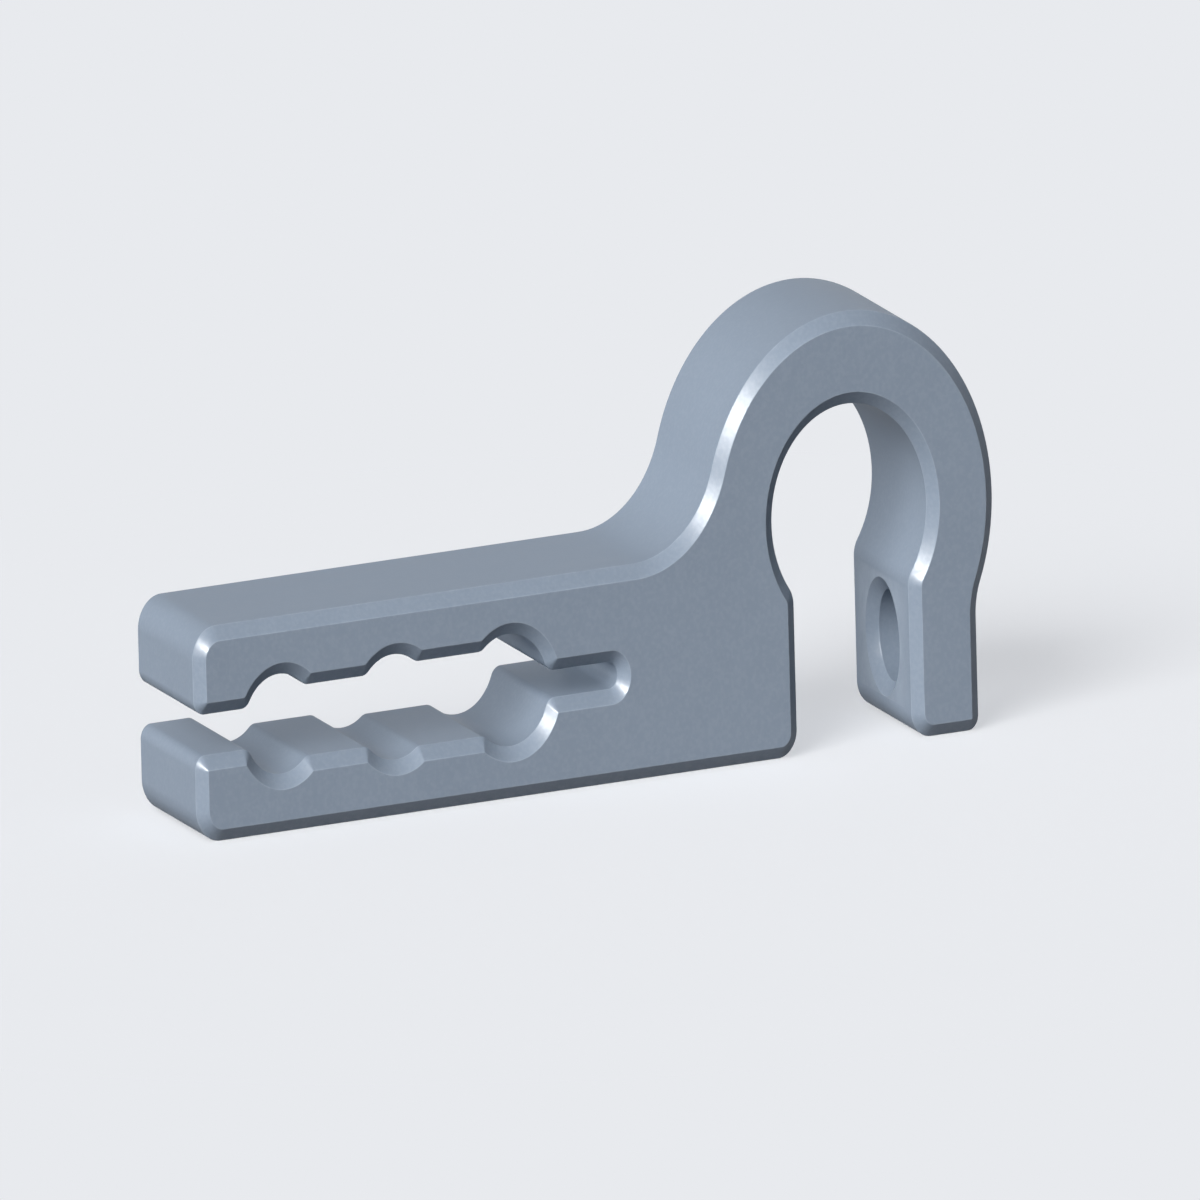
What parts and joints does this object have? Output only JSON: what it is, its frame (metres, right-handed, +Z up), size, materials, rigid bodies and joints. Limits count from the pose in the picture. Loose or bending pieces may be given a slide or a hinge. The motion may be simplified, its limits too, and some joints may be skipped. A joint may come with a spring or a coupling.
{
  "type": "desk cable clip",
  "caption": "One-piece plastic cable clip: a split bar grips cables in round seats, and an open hook snaps over a round rail, with a screw hole in its leg.",
  "frame": {"origin": "middle of the resting face, at the bottom centre of the clip's bounding box", "axes": "+X from the jaw tips towards the hook, +Y across the clip, +Z up; the clip is the same on both sides of the XZ plane"},
  "size_m": [0.084, 0.016, 0.0324],
  "materials": {
    "clip_plastic": "slate blue-grey moulded plastic with a fine satin grain"
  },
  "bodies": {
    "root": {"cable_clip": "clip_plastic"}
  },
  "joints": []
}
